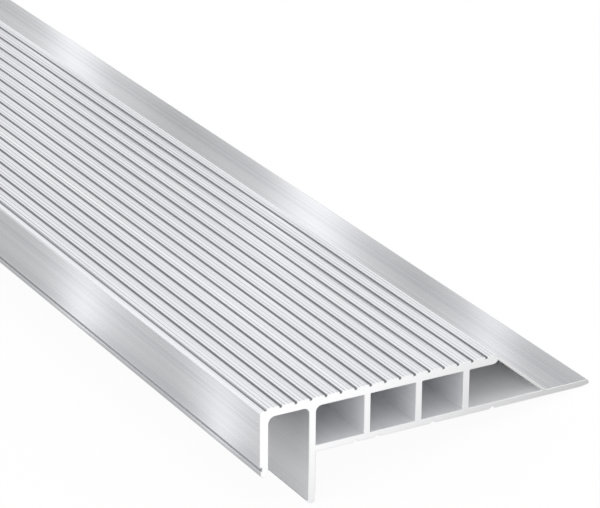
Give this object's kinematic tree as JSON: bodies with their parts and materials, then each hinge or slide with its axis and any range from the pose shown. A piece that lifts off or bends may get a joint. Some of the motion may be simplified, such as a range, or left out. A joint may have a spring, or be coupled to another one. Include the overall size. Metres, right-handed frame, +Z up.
{
  "type": "stair nosing",
  "caption": "Hollow extruded aluminium stair nosing: fluted tread, front lip, riser leg, box chambers and a sloped wall down to a thin tile flange.",
  "frame": {"origin": "centre of the bounding box in X and Y, on the floor plane, with the bar lying unheld on its leg toe and flange end", "axes": "+X along the bar, +Y from the front lip to the tile flange, +Z up; the tread slopes about 10 degrees down towards +Y as the bar lies"},
  "size_m": [1, 0.0784, 0.0252],
  "materials": {
    "mill_aluminium": "natural mill finish with fine extrusion lines along the length, saw-cut ends"
  },
  "bodies": {
    "root": {"nosing_profile": "mill_aluminium"}
  },
  "joints": []
}
